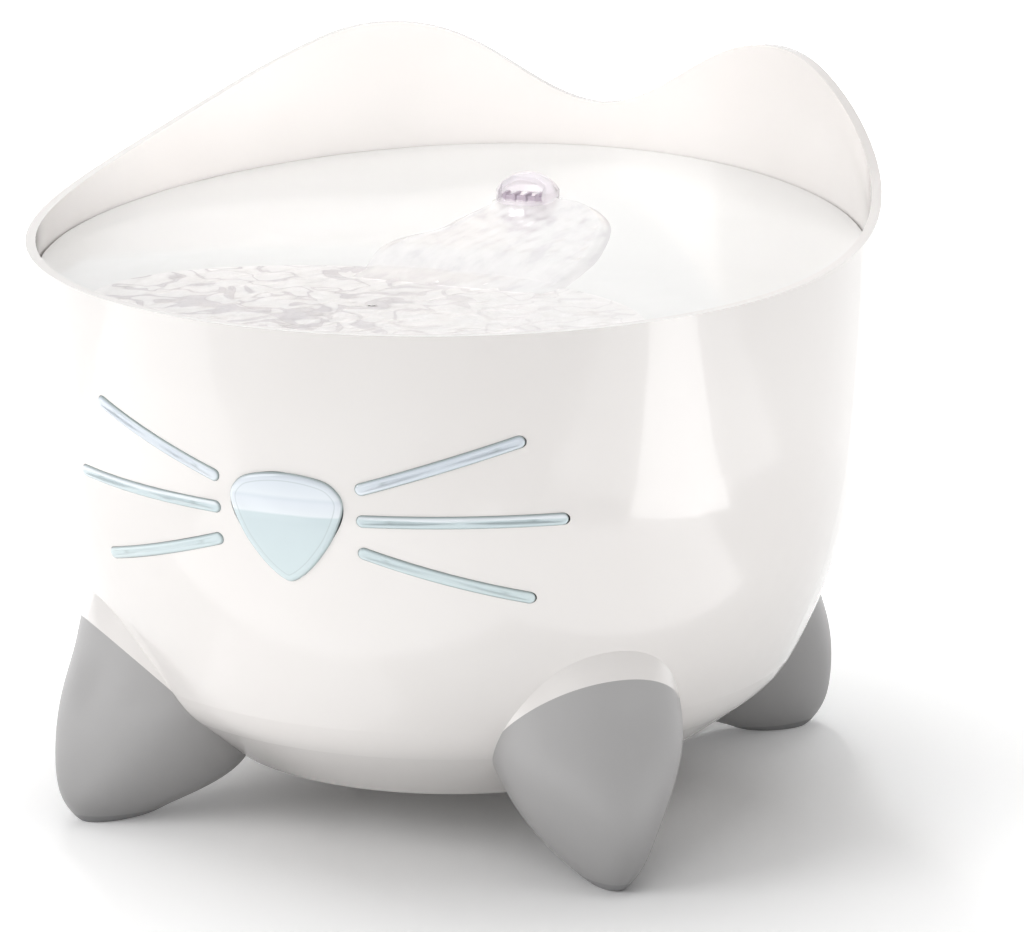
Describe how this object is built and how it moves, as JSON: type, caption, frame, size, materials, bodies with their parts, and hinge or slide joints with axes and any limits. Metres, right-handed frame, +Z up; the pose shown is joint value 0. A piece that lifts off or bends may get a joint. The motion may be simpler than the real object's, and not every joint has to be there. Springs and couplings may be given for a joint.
{
  "type": "pet water fountain",
  "caption": "Round bowl with cat ears, nose and whisker windows on feet, with a pump, filter, lift-out sloping dish and small spout.",
  "frame": {"origin": "centre of the bounding box on the surface the feet stand on, at the bowl's axis", "axes": "+Z up, -Y towards the face with the nose, +X to the right of someone who looks at the face"},
  "size_m": [0.22, 0.2207, 0.1831],
  "materials": {
    "white_shell": "glossy white moulded plastic",
    "dish_shell": "glossy white moulded plastic",
    "foot_grey": "satin grey plastic",
    "foot_pad": "soft anti-slip rubber",
    "window_blue": "pale blue translucent plastic",
    "clear_spout": "clear, faintly mauve plastic",
    "seal": "silicone seal",
    "black_rubber": "black rubber",
    "pump_black": "black moulded plastic",
    "tube_clear": "clear tube",
    "foam": "open foam",
    "filter_white": "white moulded plastic",
    "filter_fleece": "filter fleece",
    "filter_media": "filter granules in a sleeve",
    "steel_core": "electrical steel stack",
    "copper_coil": "enamelled winding",
    "resin": "potting resin",
    "ceramic_shaft": "polished ceramic",
    "magnet": "bonded magnet",
    "impeller_blue": "moulded impeller"
  },
  "bodies": {
    "reservoir": {"reservoir_bowl": "white_shell", "foot_front_left": "foot_grey", "foot_front_right": "foot_grey", "foot_rear_left": "foot_grey", "foot_rear_right": "foot_grey", "foot_pads": "foot_pad", "nose_window": "window_blue", "whisker_windows_left": "window_blue", "whisker_windows_right": "window_blue", "window_gasket": "seal", "cord_grommet": "black_rubber"},
    "pump": {"pump_housing": "pump_black", "stator_core": "steel_core", "stator_coil": "copper_coil", "potting_cap": "resin", "pump_cable_gland": "black_rubber", "volute_cover": "pump_black", "front_bush": "black_rubber", "rear_bush": "black_rubber", "impeller_shaft": "ceramic_shaft", "suction_cups": "black_rubber", "riser_tube": "tube_clear", "riser_seal": "seal"},
    "intake_cap": {"pump_cover": "pump_black", "intake_foam": "foam"},
    "rotor": {"impeller": "impeller_blue", "rotor_magnet": "magnet"},
    "filter": {"filter_basket": "filter_white", "filter_pad": "filter_fleece", "filter_core": "filter_media", "filter_lid": "filter_white"},
    "dish": {"drinking_dish": "dish_shell"},
    "spout": {"spout_hood": "clear_spout", "spout_vanes": "clear_spout", "spout_ring": "seal"}
  },
  "joints": [
    {"name": "pump_lift", "type": "slide", "parent": "reservoir", "child": "pump", "axis": [0, 0, 1], "range_m": [0, 0.08]},
    {"name": "filter_lift", "type": "slide", "parent": "pump", "child": "filter", "axis": [0, 0, 1], "range_m": [0, 0.07]},
    {"name": "dish_lift", "type": "slide", "parent": "filter", "child": "dish", "axis": [0, 0, 1], "range_m": [0, 0.08]},
    {"name": "spout_lift", "type": "slide", "parent": "dish", "child": "spout", "axis": [0, 0, 1], "range_m": [0, 0.03]},
    {"name": "intake_cap_slide", "type": "slide", "parent": "pump", "child": "intake_cap", "axis": [1, 0, 0], "range_m": [0, 0.02]},
    {"name": "impeller_spin", "type": "hinge", "parent": "pump", "child": "rotor", "pos_m": [0, 0.044, 0.044], "axis": [1, 0, 0], "continuous": true}
  ]
}
